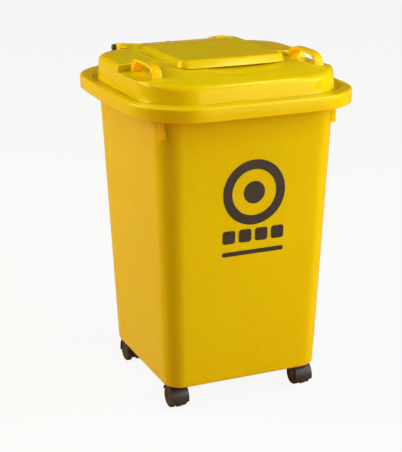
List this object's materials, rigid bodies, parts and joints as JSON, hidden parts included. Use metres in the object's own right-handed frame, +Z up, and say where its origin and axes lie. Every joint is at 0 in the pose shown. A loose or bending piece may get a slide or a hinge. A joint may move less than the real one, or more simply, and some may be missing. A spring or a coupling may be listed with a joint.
{
  "type": "waste bin",
  "caption": "Tall tapered waste bin with a lift-off domed lid, a hinged flap over the lid opening, two lid handles and swivelling twin-wheel casters.",
  "frame": {"origin": "centre of the footprint on the floor, under the middle of the bin", "axes": "+Z up, -Y the front, +X to the right as seen from the front"},
  "size_m": [0.41, 0.4382, 0.6125],
  "materials": {
    "yellow_plastic": "glossy injection-moulded polyethylene",
    "black_plastic": "satin black nylon",
    "black_tread": "satin black nylon tread",
    "steel": "zinc-plated steel"
  },
  "bodies": {
    "bin": {"tub": "yellow_plastic", "caster_front_left_stem": "steel", "caster_front_left_grip_ring": "steel", "caster_front_right_stem": "steel", "caster_front_right_grip_ring": "steel", "caster_rear_left_stem": "steel", "caster_rear_left_grip_ring": "steel", "caster_rear_right_stem": "steel", "caster_rear_right_grip_ring": "steel"},
    "lid": {"lid": "yellow_plastic", "hinge_pin_left": "black_plastic", "hinge_pin_right": "black_plastic"},
    "flap": {"flap": "yellow_plastic"},
    "caster_front_left": {"caster_front_left_hood": "black_plastic", "caster_front_left_axle": "steel"},
    "caster_front_left_wheel_left": {"caster_front_left_wheel_left": "black_tread"},
    "caster_front_left_wheel_right": {"caster_front_left_wheel_right": "black_tread"},
    "caster_front_right": {"caster_front_right_hood": "black_plastic", "caster_front_right_axle": "steel"},
    "caster_front_right_wheel_left": {"caster_front_right_wheel_left": "black_tread"},
    "caster_front_right_wheel_right": {"caster_front_right_wheel_right": "black_tread"},
    "caster_rear_left": {"caster_rear_left_hood": "black_plastic", "caster_rear_left_axle": "steel"},
    "caster_rear_left_wheel_left": {"caster_rear_left_wheel_left": "black_tread"},
    "caster_rear_left_wheel_right": {"caster_rear_left_wheel_right": "black_tread"},
    "caster_rear_right": {"caster_rear_right_hood": "black_plastic", "caster_rear_right_axle": "steel"},
    "caster_rear_right_wheel_left": {"caster_rear_right_wheel_left": "black_tread"},
    "caster_rear_right_wheel_right": {"caster_rear_right_wheel_right": "black_tread"}
  },
  "joints": [
    {"name": "lid_lift", "type": "slide", "parent": "bin", "child": "lid", "axis": [0, 0, 1], "range_m": [0, 0.1]},
    {"name": "flap_hinge", "type": "hinge", "parent": "lid", "child": "flap", "pos_m": [0, 0.2115, 0.5885], "axis": [-1, 0, 0], "range_deg": [0, 105]},
    {"name": "caster_front_left_swivel", "type": "hinge", "parent": "bin", "child": "caster_front_left", "pos_m": [-0.122, -0.104, 0.043], "axis": [0, 0, 1], "continuous": true},
    {"name": "caster_front_left_wheel_left_spin", "type": "hinge", "parent": "caster_front_left", "child": "caster_front_left_wheel_left", "pos_m": [-0.122, -0.116, 0.01983], "axis": [1, 0, 0], "continuous": true},
    {"name": "caster_front_left_wheel_right_spin", "type": "hinge", "parent": "caster_front_left", "child": "caster_front_left_wheel_right", "pos_m": [-0.122, -0.116, 0.01983], "axis": [1, 0, 0], "continuous": true},
    {"name": "caster_front_right_swivel", "type": "hinge", "parent": "bin", "child": "caster_front_right", "pos_m": [0.122, -0.104, 0.043], "axis": [0, 0, 1], "continuous": true},
    {"name": "caster_front_right_wheel_left_spin", "type": "hinge", "parent": "caster_front_right", "child": "caster_front_right_wheel_left", "pos_m": [0.122, -0.116, 0.01983], "axis": [1, 0, 0], "continuous": true},
    {"name": "caster_front_right_wheel_right_spin", "type": "hinge", "parent": "caster_front_right", "child": "caster_front_right_wheel_right", "pos_m": [0.122, -0.116, 0.01983], "axis": [1, 0, 0], "continuous": true},
    {"name": "caster_rear_left_swivel", "type": "hinge", "parent": "bin", "child": "caster_rear_left", "pos_m": [-0.122, 0.098, 0.043], "axis": [0, 0, 1], "continuous": true},
    {"name": "caster_rear_left_wheel_left_spin", "type": "hinge", "parent": "caster_rear_left", "child": "caster_rear_left_wheel_left", "pos_m": [-0.122, 0.11, 0.01983], "axis": [1, 0, 0], "continuous": true},
    {"name": "caster_rear_left_wheel_right_spin", "type": "hinge", "parent": "caster_rear_left", "child": "caster_rear_left_wheel_right", "pos_m": [-0.122, 0.11, 0.01983], "axis": [1, 0, 0], "continuous": true},
    {"name": "caster_rear_right_swivel", "type": "hinge", "parent": "bin", "child": "caster_rear_right", "pos_m": [0.122, 0.098, 0.043], "axis": [0, 0, 1], "continuous": true},
    {"name": "caster_rear_right_wheel_left_spin", "type": "hinge", "parent": "caster_rear_right", "child": "caster_rear_right_wheel_left", "pos_m": [0.122, 0.11, 0.01983], "axis": [1, 0, 0], "continuous": true},
    {"name": "caster_rear_right_wheel_right_spin", "type": "hinge", "parent": "caster_rear_right", "child": "caster_rear_right_wheel_right", "pos_m": [0.122, 0.11, 0.01983], "axis": [1, 0, 0], "continuous": true}
  ]
}
